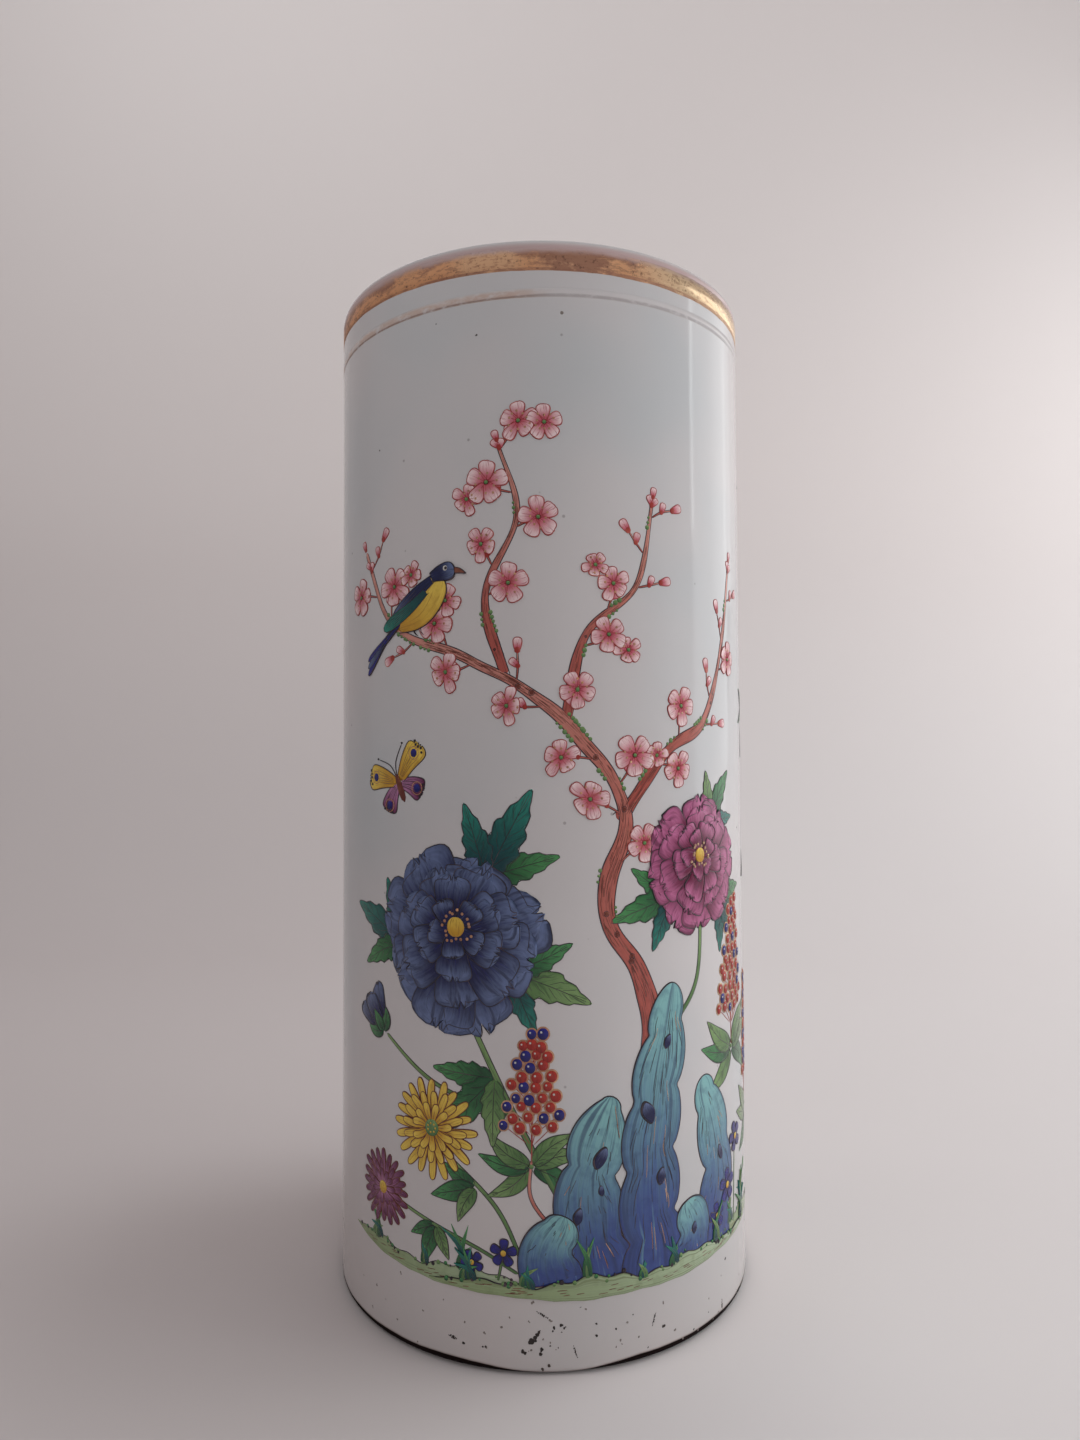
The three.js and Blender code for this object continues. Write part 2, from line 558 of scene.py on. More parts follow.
class Enamel:
    """One colour of the palette: its strokes, each a closed raised solid, make one mesh on the wall."""

    palette = []

    def __init__(self, name, material, slot="porcelain_glaze"):
        self.name, self.material, self.slot = "enamel_" + name, material, slot
        self.points, self.faces, self.coords, self.strokes = [], [], [], []
        self.palette.append(self)

    def add(self, start, rows, end, coords):
        """A closed solid from rows of points across the stroke, and the point at each of its ends."""
        base, across = len(self.points), len(rows[0])
        last = base + 1 + len(rows) * across
        self.points += [start] + [point for row in rows for point in row] + [end]
        self.coords += [(0, 0.5)] + [coord for row in coords for coord in row] + [(1, 0.5)]
        self.strokes.append(last + 1 - base)
        first, final = base + 1, last - across
        for j in range(across):
            k = (j + 1) % across
            self.faces.append((base, first + k, first + j))
            self.faces.append((last, final + j, final + k))
            for row in range(first, final, across):
                self.faces.append((row + j, row + k, row + across + k, row + across + j))

    def blade(self, blade, base, crown=0.012):
        """Fills a blade. base is how proud of the glaze its rim is, and crown how much more its middle."""
        broad = blade.width(0.6, 1) > 4
        columns = np.sin(np.linspace(-pi / 2, pi / 2, 17 if broad else 9))
        rows, coords = [], []
        for s in blade.rows:
            rise = base + crown * (1 - columns ** 2) * sin(pi * s) ** 0.5
            rise[0] = rise[-1] = -SINK_MM
            rows.append([(*blade.at(s, t), h) for t, h in zip(columns, rise)])
            coords.append([(s, (t + 1) / 2) for t in columns])
        self.add((*blade.at(0, 0), -SINK_MM), rows, (*blade.at(1, 0), -SINK_MM), coords)

    def stroke(self, points, width, base, steps=None, taper=0.5):
        """A brush line of that half-width, thinned towards its ends by taper."""
        steps = steps or max(4, min(90, int(path_length(points) / 1.1) + 2))
        path = smooth_path(points, steps)
        side = sideways(path)
        rows, coords = [], []
        for i in range(1, steps):
            share = i / steps
            half = width * (1 - taper + taper * sin(pi * share) ** 0.7)
            rows.append([(*(path[i] + side[i] * half * t), -SINK_MM if abs(t) == 1 else base + 0.012)
                         for t in (-1, -0.6, 0.6, 1)])
            coords.append([(share, t) for t in (0, 0.2, 0.8, 1)])
        self.add((*path[0], -SINK_MM), rows, (*path[-1], -SINK_MM), coords)

    def disc(self, centre, radius, base, crown, tall=1.0):
        """A dot or a berry, tall times as high as it is wide."""
        def width(s, t):
            return radius * 2 * sqrt(max(0.0, s - s * s))
        half = radius * tall
        spine = [(centre[0], centre[1] - half), (centre[0], centre[1] + half)]
        self.blade(Blade(spine, width, 10 if radius > 0.6 else 6, rows=TO_ENDS), base, crown)

    def ring(self, centre, radius, width, base):
        self.stroke([polar(centre, a, radius) for a in range(0, 400, 30)], width, base, 18, 0.1)

    def finish(self):
        """Bends the strokes round the wall and makes their mesh."""
        flat = np.array(self.points)
        turn = flat[:, 0] / RADIUS_MM
        radius = (RADIUS_MM + flat[:, 2]) * MM
        verts = np.stack([radius * np.sin(turn), -radius * np.cos(turn), flat[:, 1] * MM], -1)
        made = add_mesh(self.name, verts.tolist(), self.faces, [self.material])
        corners = np.empty(len(made.data.loops), np.int32)
        made.data.loops.foreach_get("vertex_index", corners)
        coords = np.array(self.coords)
        stroke = np.repeat(np.arange(len(self.strokes)), self.strokes)
        # For an export's bake, each stroke has a cell of its own in a square grid
        grid = ceil(sqrt(len(self.strokes)))
        cells = (np.stack([stroke % grid, stroke // grid], -1) + 0.1 + 0.8 * coords) / grid
        for name, places in (("stroke", coords), ("OFBake", cells)):
            layer = made.data.uv_layers.new(name=name)
            layer.data.foreach_set("uv", places[corners].astype(np.float32).ravel())
        seeds = made.data.attributes.new("seed", "FLOAT", "POINT")
        seeds.data.foreach_set("value", (stroke * 0.618 % 1).astype(np.float32))
        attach(made, "root")


def line_enamel(name, *shades):
    return Enamel(name, ink_material("enamel_" + name, *[srgb(*shade) for shade in shades]))


def fill_enamel(name, *shades, leafy=False, start=0.1):
    shades = [srgb(*shade) for shade in shades]
    return Enamel(name, enamel_material("enamel_" + name, *shades, leafy, start))


gilt = gilt_material()

# The palette: lines with a faded shade, fills with a root, a tip and a deep shade, then gold
ink = line_enamel("ink", (34, 24, 32), (78, 60, 68))
red_line = line_enamel("red_line", (146, 42, 36), (180, 92, 78))
brown = line_enamel("brown", (96, 40, 28), (138, 84, 62))
iron = line_enamel("iron", (34, 24, 20), (66, 52, 44))
smoke = line_enamel("smoke", (118, 108, 102), (146, 138, 132))
blue = fill_enamel("blue", (18, 24, 68), (98, 112, 150), (12, 14, 44), start=0.45)
navy = fill_enamel("navy", (18, 16, 92), (34, 34, 128), (10, 8, 48))
magenta = fill_enamel("magenta", (96, 12, 52), (184, 100, 142), (76, 10, 44), start=0.45)
pink = fill_enamel("pink", (190, 84, 102), (234, 212, 212), (164, 58, 78))
yellow = fill_enamel("yellow", (190, 140, 40), (228, 196, 84), (150, 100, 30))
aubergine = fill_enamel("aubergine", (178, 120, 160), (98, 32, 74), (62, 16, 44))
teal = fill_enamel("teal", (8, 58, 64), (38, 128, 112), (4, 34, 42), leafy=True)
green = fill_enamel("green", (26, 78, 46), (78, 146, 86), (16, 50, 32), leafy=True)
moss = fill_enamel("moss", (82, 116, 66), (126, 154, 98), (44, 76, 44), leafy=True)
bark = fill_enamel("bark", (166, 80, 70), (204, 142, 128), (104, 40, 40))
red = fill_enamel("red", (150, 32, 26), (178, 52, 40), (92, 12, 16))
rock = fill_enamel("rock", (52, 70, 128), (126, 176, 176), (34, 44, 90))
earth = fill_enamel("earth", (138, 154, 112), (168, 182, 156), (106, 116, 76))
white = fill_enamel("white", (196, 192, 188), (196, 192, 188), (188, 184, 182))
gold = Enamel("gold", gilt, "gilding")


# Half-widths of petals and leaves, as functions of the share of their length


def spoon(width, waist=0.3, swell=0.8, blunt=6):
    """A narrow root and a broad tip, round or blunt."""
    return lambda s, t: width * (waist + (1 - waist) * s ** swell) * sqrt(max(0.0, 1 - s ** blunt)) + 0.02


def fan(width, waist=0.35):
    return spoon(width, waist, 0.7, 14)


def lance(width):
    """A full belly, drawn out to a point."""
    return lambda s, t: width * sin(pi * s ** 0.8) ** 0.9 * (1.15 - 0.4 * s) + 0.02


def toothed(shape, teeth, depth):
    """A shape with saw teeth that point to its tip."""
    return lambda s, t: shape(s, t) * (1 - depth + depth * 1.3 * ((s * teeth) % 1.0))


def petal(fill, centre, degrees, near, far, shape, base, bend=0.0, edge=ink, veins=3, ruffle=0.0, vein=None):
    """One outlined petal on a bearing, from near to far of a centre, with veins from its root."""
    blade = Blade(bowed(centre, degrees, far, bend, near), shape, ruffle=ruffle)
    fill.blade(blade, base)
    edge.stroke(blade.rim(), LINE_MM, base, 48 if ruffle else 34, 0.3)
    for k in range(veins):
        t = 1.5 * ((k + 0.5) / veins - 0.5)
        line = blade.line(0.06, t * 0.5, vary(0.5, 0.86), t)
        (vein or edge).stroke(line, LINE_MM * 0.5, base + 0.009, taper=0.8)
    return blade


def leaf(fill, spine, width, base, teeth=0, veins=5):
    """A leaf with a midrib and side veins, smooth or saw-edged."""
    if teeth:
        blade = Blade(spine, toothed(lance(width), teeth, 0.24), teeth * 4, rows=EVEN)
    else:
        blade = Blade(spine, lance(width), 14)
    fill.blade(blade, base)
    ink.stroke(blade.rim(), LINE_MM * 0.9, base, teeth * 9 or 42, 0.3)
    ink.stroke(blade.line(0, 0, 0.95, 0, 8), LINE_MM, base + 0.01)
    for k in range(veins):
        s = 0.12 + 0.62 * k / max(1, veins - 1)
        for side in (-1, 1):
            ink.stroke(blade.line(s, 0, s + 0.2, 0.72 * side, 4), LINE_MM * 0.6, base + 0.008, taper=0.7)


def leaf_spray(root, degrees, length, fills, teeth=5):
    """Three leaves from one point: right, left and, longest, the middle one. fills are their colours."""
    for k, fill in zip((-1, 1, 0), fills):
        far = length * (1.0 if k == 0 else 0.78)
        spine = bowed(root, degrees + k * 52, far, -k * far * 0.07 + vary(-0.6, 0.6))
        spine[2] = polar(root, degrees + k * 46, far)
        leaf(fill, spine, far * 0.21, 0.06 + 0.03 * (k + 1) % 0.07, teeth)


def stem(points, width, base=0.03, fill=moss):
    """A filled stalk between two lines."""
    ink.stroke(points, width + LINE_MM * 1.2, base, taper=0.2)
    fill.stroke(points, width, base + 0.015, taper=0.2)


def peony(fill, vein, centre, radius, level=0.15):
    """A full double flower of broad ruffled petals, outermost first, round a boss of stamens."""
    rings = (8, 1.0, 0.46), (7, 0.8, 0.44), (6, 0.6, 0.42), (5, 0.38, 0.42)
    for k, (count, reach, wide) in enumerate(rings):
        reach *= radius
        middle = (centre[0], centre[1] + 0.05 * radius * k)
        turn = vary(0, 360)
        for i in range(count):
            degrees = turn + 360 * i / count + vary(-8, 8)
            far = reach * vary(0.9, 1.08)
            lift = 0.024 * (i % 3 + 1.5 * (i > count - 3))
            petal(fill, middle, degrees, reach * 0.1, far, fan(reach * wide), level + lift, vary(-1, 1),
                  veins=4, ruffle=0.15, vein=vein)
        level += 0.105
    yellow.disc(middle, radius * 0.11, level, 0.1)
    for i in range(18):
        tip = polar(middle, 20 * i + vary(-8, 8), radius * vary(0.12, 0.21))
        gold.disc(tip, 0.4, level, 0.1)


def peony_bud(fill, vein, centre, radius, degrees):
    """A bud about to open, cupped in its green calyx."""
    for k, (turn, wide) in enumerate(((-24, 0.42), (24, 0.42), (0, 0.5))):
        far = radius * 2 * (1 - 0.06 * k)
        shape = fan(radius * wide, 0.6)
        petal(fill, centre, degrees + turn, 0, far, shape, 0.12 + 0.03 * k, ruffle=0.1, vein=vein)
    for turn in (-58, 58, 0):
        middle = polar(centre, degrees + turn, radius * 0.6)
        tip = polar(centre, degrees + turn * 0.8, radius)
        leaf(green, [centre, middle, tip], radius * 0.26, 0.22 + 0.02 * (turn == 0), veins=0)


def chrysanthemum(fill, centre, radius, heart=moss):
    """Three rings of narrow spoon petals round a small heart."""
    level = 0.15
    for count, reach, wide in ((20, 1.0, 0.105), (16, 0.76, 0.1), (11, 0.5, 0.1)):
        turn = vary(0, 20)
        for i in range(count):
            far = radius * reach * vary(0.92, 1.05)
            petal(fill, centre, turn + 360 * i / count, radius * 0.1, far, spoon(radius * wide),
                  level + 0.02 * (i % 3), vary(-0.5, 0.5), brown, 1)
        level += 0.065
    heart.disc(centre, radius * 0.17, level, 0.1)
    for i in range(7):
        yellow.disc(polar(centre, 51.4 * i, radius * 0.09), 0.28, level + 0.08, 0.05)


def small_flower(fill, centre, radius):
    """A little open flower of five round petals with a yellow eye."""
    turn = vary(0, 72)
    for i in range(5):
        petal(fill, centre, turn + 72 * i, 0.2, radius, spoon(radius * 0.42), 0.14 + 0.02 * i, veins=1)
    yellow.disc(centre, radius * 0.22, 0.25, 0.08)
    ink.ring(centre, radius * 0.22, 0.09, 0.25)


def plum_blossom(centre, radius, base):
    """Five round petals outlined in iron red, with gold-tipped stamens, seen a little from one side."""
    turn, lean, tilt = vary(0, 72), vary(0, 180), vary(0, 0.35)
    for i in range(5):
        degrees = turn + 72 * i + vary(-5, 5)
        away = cos(radians(degrees - lean)) ** 2
        far = radius * (1 - tilt * away)
        shape = spoon(radius * 0.5 * (1 - tilt * (1 - away)), 0.25)
        petal(pink, centre, degrees, 0.2, far, shape, base + 0.02 * i, 0, red_line, 0, 0.06)
    for i in range(10):
        tip = polar(centre, turn + 36 * i + vary(-6, 6), radius * vary(0.34, 0.56))
        red_line.stroke([centre, tip], 0.09, base + 0.1, 4)
        gold.disc(tip, 0.32, base + 0.1, 0.06)
    moss.disc(centre, 0.5, base + 0.11, 0.08)


def plum_bud(centre, radius, degrees):
    petal(pink, centre, degrees, 0, radius * 2, spoon(radius * 0.85, 0.5), 0.11, 0, red_line, 1)
    red_line.disc(centre, radius * 0.5, 0.14, 0.06)


def plum_sprays(wood, run, first):
    """Twigs with blossoms and buds along a bough, to both sides in turn, from a share of its length on."""
    share, side = first, 1
    while share < 0.97:
        root = wood.at(share, side * 0.5)
        ahead = wood.at(share + 0.02, 0) - wood.at(share - 0.02, 0)
        degrees = bearing(ahead) - side * vary(35, 62)
        length = vary(6, 9.5)
        twig = bowed(root, degrees, length, vary(-0.7, 0.7))
        middle, tip = twig[1:]
        ink.stroke(twig, 0.42, 0.07, taper=0.4)
        bark.stroke(twig, 0.26, 0.085, taper=0.4)
        plum_bud(middle, 1.3, degrees + side * 50)
        kind = chance.random()
        if kind < 0.3:
            plum_bud(tip, 1.6, degrees)
        else:
            plum_blossom(tip, vary(4.6, 6.2), 0.16)
        if kind > 0.72:
            plum_blossom(polar(tip, degrees - side * 60, 6.5), vary(3.8, 4.8), 0.13)
        share += vary(7, 13) / run
        side = -side
    for turn in (-35, 30, 0):
        plum_bud(wood.at(1 - abs(turn) * 0.001, 0), 1.25, bearing(ahead) + turn)


def bough(spine, thick, thin, first):
    """A gnarled branch with knots, bark strokes and moss dots, in flower from a share of its length on."""
    waves = [vary(0, 6) for _ in range(4)]
    run = path_length(spine)
    base = 0.04

    def half(s, t):
        side = 1 if t > 0 else 0
        wobble = 0.16 * sin(run * 0.16 * s + waves[side]) + 0.12 * sin(run * 0.37 * s + waves[side + 2])
        return (thick + (thin - thick) * s ** 0.8) * (1 + wobble) + 0.04
    steps = max(10, int(run / 1.8))
    blade = Blade(spine, half, steps, rows=EVEN)
    bark.blade(blade, base, 0.06)
    for side in (-1, 1):
        ink.stroke(blade.line(0.005, 0.97 * side, 0.995, 0.97 * side, steps), 0.2, base, steps * 2, 0.2)
    for _ in range(int(run * thick / 3)):
        s, t = vary(0.02, 0.8), vary(-0.7, 0.7)
        end = min(0.97, s + vary(3, 7) / run)
        brown.stroke(blade.line(s, t, end, t + vary(-0.15, 0.15), 3), 0.12, base + 0.055, taper=0.8)
    for _ in range(int(run / 13)):
        s, side = vary(0.02, 0.9), chance.choice((-1, 1))
        for k in range(3):
            spot = blade.at(min(1, s + k * 1.3 / run), side * 1.1)
            moss.disc(spot, vary(0.35, 0.7), base + 0.03, 0.1)
    for _ in range(int(run * thick / 60)):
        knot = blade.at(vary(0.08, 0.7), vary(-0.3, 0.3))
        ink.ring(knot, thick * 0.2, 0.12, base + 0.06)
        brown.disc(knot, thick * 0.16, base + 0.06, 0.03)
    plum_sprays(blade, run, first)


def berry(centre, size, colour, base):
    """A gold-rimmed berry with a glint."""
    gold.disc(centre, size + 0.36, base, 0.03)
    colour.disc(centre, size, base + 0.05, 0.25)
    white.disc((centre[0] - size * 0.3, centre[1] + size * 0.34), size * 0.2, base + 0.27, 0.03)


def nandina(root, height, lean, width=8.0):
    """An upright cone of gold-rimmed berries on a branching red stalk, with leaflets at its foot."""
    base = 0.08
    top = (root[0] + lean, root[1] + height)
    middle = ((root[0] + top[0]) / 2 - lean * 0.2, (root[1] + top[1]) / 2)
    stalk = Blade([root, middle, top], lambda s, t: 1.0)
    red_line.stroke(stalk.line(0, 0, 1, 0), 0.28, base)
    levels = int(height / 3.4)
    for k in range(levels):
        s = 0.26 + 0.74 * k / levels
        half = width * (1 - 0.8 * (k / levels) ** 1.2)
        count = 2 + int(half / 2.4)
        for i in range(count):
            away = -half + 2 * half * (i + 0.5 * (k % 2)) / max(1, count - 0.5)
            spot = stalk.at(s, 0)
            centre = (spot[0] + away, spot[1] + vary(-0.5, 0.5) + abs(away) * 0.12)
            red_line.stroke([stalk.at(s - 0.12, 0), centre], 0.12, base + 0.01, 4)
            berry(centre, vary(1.15, 1.45), red if chance.random() < 0.7 else navy, base + 0.05)
    for k, degrees in enumerate((35, 145, 10, 170, 215, -35)):
        spine = bowed(root, degrees, height * 0.4, 1.2)
        leaf(chance.choice((green, moss)), spine, height * 0.07, base - 0.02 * (k // 2), 0, 3)
    moss.disc(root, 0.6, base + 0.03, 0.06)


def bamboo(points, leaves):
    """A jointed cane with tufts of narrow leaves. leaves lists (share up the cane, length, bearings)."""
    base = 0.05
    cane = smooth_path(points, int(path_length(points) / BAMBOO_JOINT_MM))
    for a, b in zip(cane, cane[1:]):
        gap = (b - a) * 0.03
        stem([a + gap, (a + b) / 2, b - gap], 0.65, base)
    whole = Blade(points, lambda s, t: 1.0)
    for share, length, bearings in leaves:
        root = whole.at(share, 0)
        for degrees in bearings:
            far = length * vary(0.85, 1.15)
            blade = Blade(bowed(root, degrees, far, vary(-0.9, 0.9)), lance(far * 0.085), 12)
            level = base + 0.05 + vary(0, 0.1)
            green.blade(blade, level, 0.02)
            ink.stroke(blade.rim(), 0.09, level, 26, 0.3)
            ink.stroke(blade.line(0.05, 0, 0.95, 0), 0.09, level + 0.015)


def butterfly(centre, size, lean):
    """A butterfly with spread, spotted wings."""
    base = 0.06
    for side in (-1, 1):
        for swing, length, wide, fill in ((-38, 0.8, 0.32, aubergine), (30, 1.15, 0.36, yellow)):
            degrees = lean + (swing if side > 0 else 180 - swing)
            level = base + 0.05 * (swing > 0)
            wing = petal(fill, centre, degrees, 0.4, size * length, fan(size * wide, 0.2), level, side * 0.5,
                         veins=5, ruffle=0.08)
            navy.disc(wing.at(0.76, 0), size * 0.1, base + 0.09, 0.05)
            gold.ring(wing.at(0.76, 0), size * 0.15, 0.13, base + 0.09)
            for t in (-0.66, -0.33, 0, 0.33, 0.66):
                ink.disc(wing.at(0.95, t), size * 0.035, base + 0.08, 0.03)
        curl = (0, 0.1), (12, 0.5), (30, 0.95)
        feeler = [polar(centre, lean + 90 - side * turn, size * far) for turn, far in curl]
        ink.stroke(feeler, 0.12, base + 0.12)
        ink.disc(feeler[-1], 0.28, base + 0.12, 0.05)
    body = [polar(centre, lean - 90, size * 0.5), centre, polar(centre, lean + 90, size * 0.24)]
    brown.blade(Blade(body, lambda s, t: size * 0.09 * sin(pi * s ** 0.8) ** 0.5 + 0.02), base + 0.1, 0.12)


def bird(perch, size):
    """A small bird on a branch, facing right."""
    base = 0.29

    def at(x, y):
        return (perch[0] + size * x, perch[1] + size * y)

    def feather(fill, points, width, level, lines=0, shape=spoon):
        blade = Blade(points, shape(size * width), 14)
        fill.blade(blade, base + level, 0.03)
        ink.stroke(blade.rim(), 0.13, base + level, 40, 0.3)
        for k in range(lines):
            t = 1.6 * ((k + 0.5) / lines - 0.5)
            ink.stroke(blade.line(0.35, t * 0.8, 0.94, t), 0.09, base + level + 0.025)
    for x in (0.0, 0.14):
        ink.stroke([at(x, 0.25), at(x - 0.03, 0.03), at(x + 0.06, -0.05)], 0.17, base)
    for fill, drop, level in ((navy, -0.62, 0.02), (blue, -0.5, 0.04), (navy, -0.38, 0.04)):
        feather(fill, [at(-0.2, 0.28), at(-0.7, -0.08), at(-1.2, drop)], 0.07, level, 1)
    feather(yellow, [at(-0.45, 0.12), at(0.12, 0.3), at(0.5, 0.86)], 0.3, 0.08)
    feather(blue, [at(0.42, 0.9), at(0.0, 0.62), at(-0.5, 0.2)], 0.17, 0.13, 3)
    feather(teal, [at(0.3, 0.72), at(-0.1, 0.42), at(-0.72, 0.1)], 0.14, 0.18, 5)
    feather(brown, [at(0.66, 0.96), at(0.8, 0.95), at(0.93, 0.9)], 0.045, 0.17, 0, lance)
    feather(blue, [at(0.28, 0.86), at(0.5, 0.93), at(0.74, 0.97)], 0.19, 0.23)
    white.disc(at(0.58, 1.0), size * 0.042, base + 0.26, 0.03)
    ink.disc(at(0.59, 1.0), size * 0.027, base + 0.28, 0.03)


def boulder(spine, width, base, holes=()):
    """One lobe of a garden rock, scalloped, ridged and worn through. holes lists (s, t, size)."""
    waves = [vary(0, 3) for _ in range(2)]
    run = path_length(spine)

    def half(s, t):
        bulge = abs(sin(run * s / 5.2 + waves[int(t > 0)])) ** 0.6
        return width * sqrt(max(0.0, 1 - s ** 7)) * (0.74 + 0.32 * bulge) * (1.1 - 0.25 * s) + 0.04
    steps = int(run / 1.1)
    blade = Blade(spine, half, steps)
    rock.blade(blade, base, 0.06)
    ink.stroke(blade.rim(), 0.21, base, steps * 3, 0.2)
    for i in range(int(run * width / 9)):
        s, t = vary(0.04, 0.85), vary(-0.85, 0.85)
        ridge = blade.line(s, t, min(0.97, s + vary(0.06, 0.14)), t * 0.75, 3)
        (gold if i % 5 == 0 else ink).stroke(ridge, 0.12, base + 0.055, taper=0.8)
    for s, t, size in holes:
        phase, slant = vary(0, 6), vary(60, 125)
        for fill, grow, level in ((ink, 1.16, 0.075), (blue, 1.0, 0.085)):
            spot = blade.at(s, t) + size * (1 - grow) * np.array([0.6, -0.3])
            reach = size * grow

            def gape(s, t):
                return reach * 0.62 * sin(pi * s) ** 0.6 * (1 + 0.14 * sin(4 * s + phase + t))
            through = [polar(spot, slant + 180, reach), spot, polar(spot, slant, reach)]
            fill.blade(Blade(through, gape, 16, rows=TO_ENDS), base + level, 0.0)


def bank(spine, base=0.03):
    """A low bank of earth with an inked crest, moss dots and grass."""
    waves = [vary(0, 6) for _ in range(2)]
    wide = path_length(spine)

    def half(s, t):
        wobble = 0.35 * sin(wide * s * 0.21 + waves[0] + (t > 0)) + 0.2 * sin(wide * s * 0.7 + waves[1])
        return (3.1 + 3.1 * wobble if t < 0 else 1.7 + 0.7 * wobble) * sin(pi * s) ** 0.7 + 0.02
    steps = int(wide / 1.6)
    blade = Blade(spine, half, steps, rows=TO_ENDS)
    earth.blade(blade, base, 0.02)
    ink.stroke(blade.line(0.01, -0.97, 0.99, -0.97, steps), LINE_MM, base, taper=0.6)
    for _ in range(int(wide / 2.2)):
        s = vary(0.04, 0.96)
        spot = blade.at(s, vary(-1.1, -0.7))
        chance.choice((ink, moss, green)).disc(spot, vary(0.3, 0.62), base + 0.015, 0.1)
        start = blade.at(s, vary(-0.5, 0.4))
        brown.stroke([start, (start[0] + vary(2, 4), start[1] + 0.2)], 0.13, base + 0.02, 5, 0.8)
    for i in range(int(wide / 14)):
        s = (i + vary(0.2, 0.8)) / int(wide / 14)
        grass(blade.at(s, -0.5), vary(7, 13), chance.randint(3, 6), base + 0.04)


def grass(root, length, blades, base):
    for i in range(blades):
        aside = i - (blades - 1) / 2
        degrees = 90 + aside * 20 + vary(-7, 7)
        far = length * vary(0.6, 1.1)
        foot = (root[0] + aside * 0.9, root[1] + vary(-0.4, 0.4))
        middle = polar(foot, (degrees + 90) / 2, far * 0.5)
        blade = Blade([foot, middle, polar(foot, degrees, far)], lance(0.7), 10)
        chance.choice((green, moss, teal)).blade(blade, base + 0.015 * i, 0.03)
        ink.stroke(blade.line(0.12, 0, 0.9, 0), 0.07, base + 0.015 * i + 0.025)


def paint_front():
    """Rock, plum tree, peonies, chrysanthemums and berries on the side that faces the camera."""
    bough([(25, 46), (28, 86), (16, 112), (21, 137), (4, 160), (-18, 174), (-42, 184), (-55, 206)],
          3.5, 0.5, 0.4)
    bough([(19, 133), (34, 151), (48, 159), (58, 180), (64, 204)], 2, 0.4, 0.22)
    bough([(-9, 169), (-14, 190), (-6, 210), (-11, 229)], 1.4, 0.35, 0.34)
    bough([(6, 158), (11, 180), (25, 193), (30, 216)], 1.5, 0.35, 0.3)
    bird((-34, 181.5), 16)
    bank([(-60, 24.5), (-36, 21.4), (8, 20.6)])
    bank([(36, 20.6), (66, 21.2), (98, 21)])
    boulder([(50, 21), (53, 42), (46, 66)], 8, 0.08, ((0.5, 0.2, 2),))
    boulder([(14, 20.5), (11, 44), (17, 66)], 8.5, 0.12,
            ((0.38, -0.3, 1.9), (0.68, 0.25, 2.6), (0.5, 0.4, 1.2)))
    boulder([(29, 19.5), (28, 52), (35, 92)], 8.5, 0.17,
            ((0.34, 0.35, 2), (0.56, -0.25, 2.8), (0.8, 0.15, 1.7)))
    boulder([(2, 21), (1, 29), (5, 38)], 7, 0.22)
    boulder([(41, 20.5), (42, 28), (39, 36)], 6.5, 0.22, ((0.5, 0, 1.4),))
    bank([(-30, 20.2), (18, 19.4), (72, 20.4)], 0.32)
    # Blue peony with its bud and leaves
    stem([(6, 38), (-6, 60), (-20, 88)], 0.9)
    stem([(-7, 62), (-28, 68), (-45, 78)], 0.6)
    leaf_spray((-38, 102), 158, 23, (teal, green, teal))
    leaf_spray((-14, 120), 62, 25, (green, teal, teal))
    leaf_spray((-12, 71), 222, 22, (green, moss, green))
    leaf_spray((-8, 97), -22, 22, (teal, green, moss))
    peony(blue, navy, (-22, 104), 23)
    peony_bud(blue, navy, (-46, 78), 6.5, 128)
    # Magenta peony
    stem([(34, 80), (44, 92), (46, 114)], 0.8)
    leaf_spray((36, 114), 196, 20, (green, teal, green))
    leaf_spray((54, 112), -40, 20, (teal, green, teal))
    leaf_spray((50, 132), 50, 18, (teal, moss, green))
    peony(magenta, aubergine, (45, 121), 18, 0.28)
    # Chrysanthemums and berries by the rock
    stem([(-4, 24), (-12, 40), (-27, 53)], 0.6)
    stem([(-6, 24), (-18, 30), (-42, 37)], 0.5)
    stem([(5, 32), (-3, 42), (-3, 52)], 0.5, fill=bark)
    leaf_spray((-17, 44), 196, 13, (green, moss, green), 0)
    leaf_spray((-28, 33), 250, 11, (green, moss, green), 0)
    chrysanthemum(yellow, (-29, 57), 12.5)
    chrysanthemum(aubergine, (-46, 38), 9.5, heart=yellow)
    nandina((-3, 50), 34, 1, 7)
    nandina((62, 70), 42, 2)
    for x, y, r in ((58, 34, 4.4), (64, 45, 4), (52, 28, 3.6), (-10, 29, 3.4), (-18, 26, 3)):
        stem([(x - 1.5, 21.5), (x, y)], 0.3)
        small_flower(navy, (x, y), r)
    butterfly((-40, 143), 11, 24)


